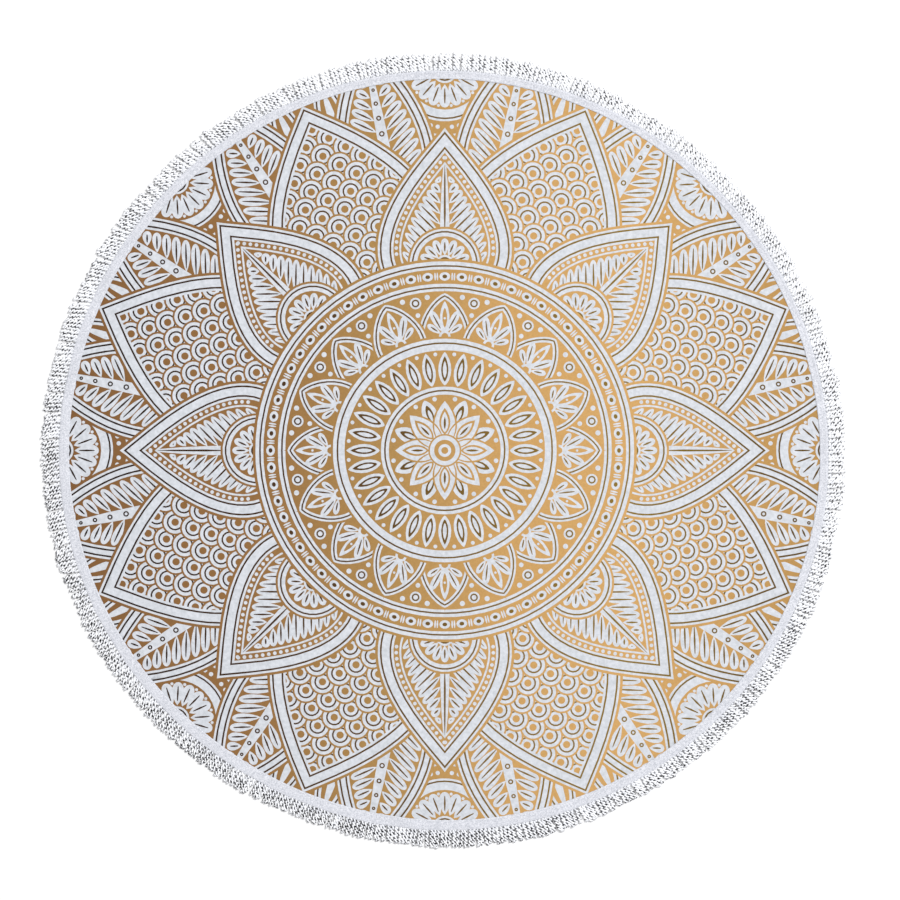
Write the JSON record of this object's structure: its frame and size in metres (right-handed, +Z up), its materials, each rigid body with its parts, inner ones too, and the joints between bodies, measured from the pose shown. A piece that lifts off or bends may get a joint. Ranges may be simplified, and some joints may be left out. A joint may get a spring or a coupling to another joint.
{
  "type": "round beach towel",
  "caption": "Round short-pile beach towel lying flat, printed with a gold lotus mandala on white, with a white heading tape and a corded fringe round its edge.",
  "frame": {"origin": "on the underside, at the middle of the towel's outer box", "axes": "+Z up, square to the cloth and towards the printed face; +X the long way across, because the towel lies a little out of round; +Y towards the top of the picture"},
  "size_m": [1.5154, 1.496, 0.004],
  "materials": {
    "printed_terry": "matte short pile, white ground with gold ink",
    "tape": "matte woven white tape",
    "cord": "matte twisted white cord"
  },
  "bodies": {
    "root": {"printed_cloth": "printed_terry", "heading_tape": "tape", "corded_fringe": "cord"}
  },
  "joints": []
}
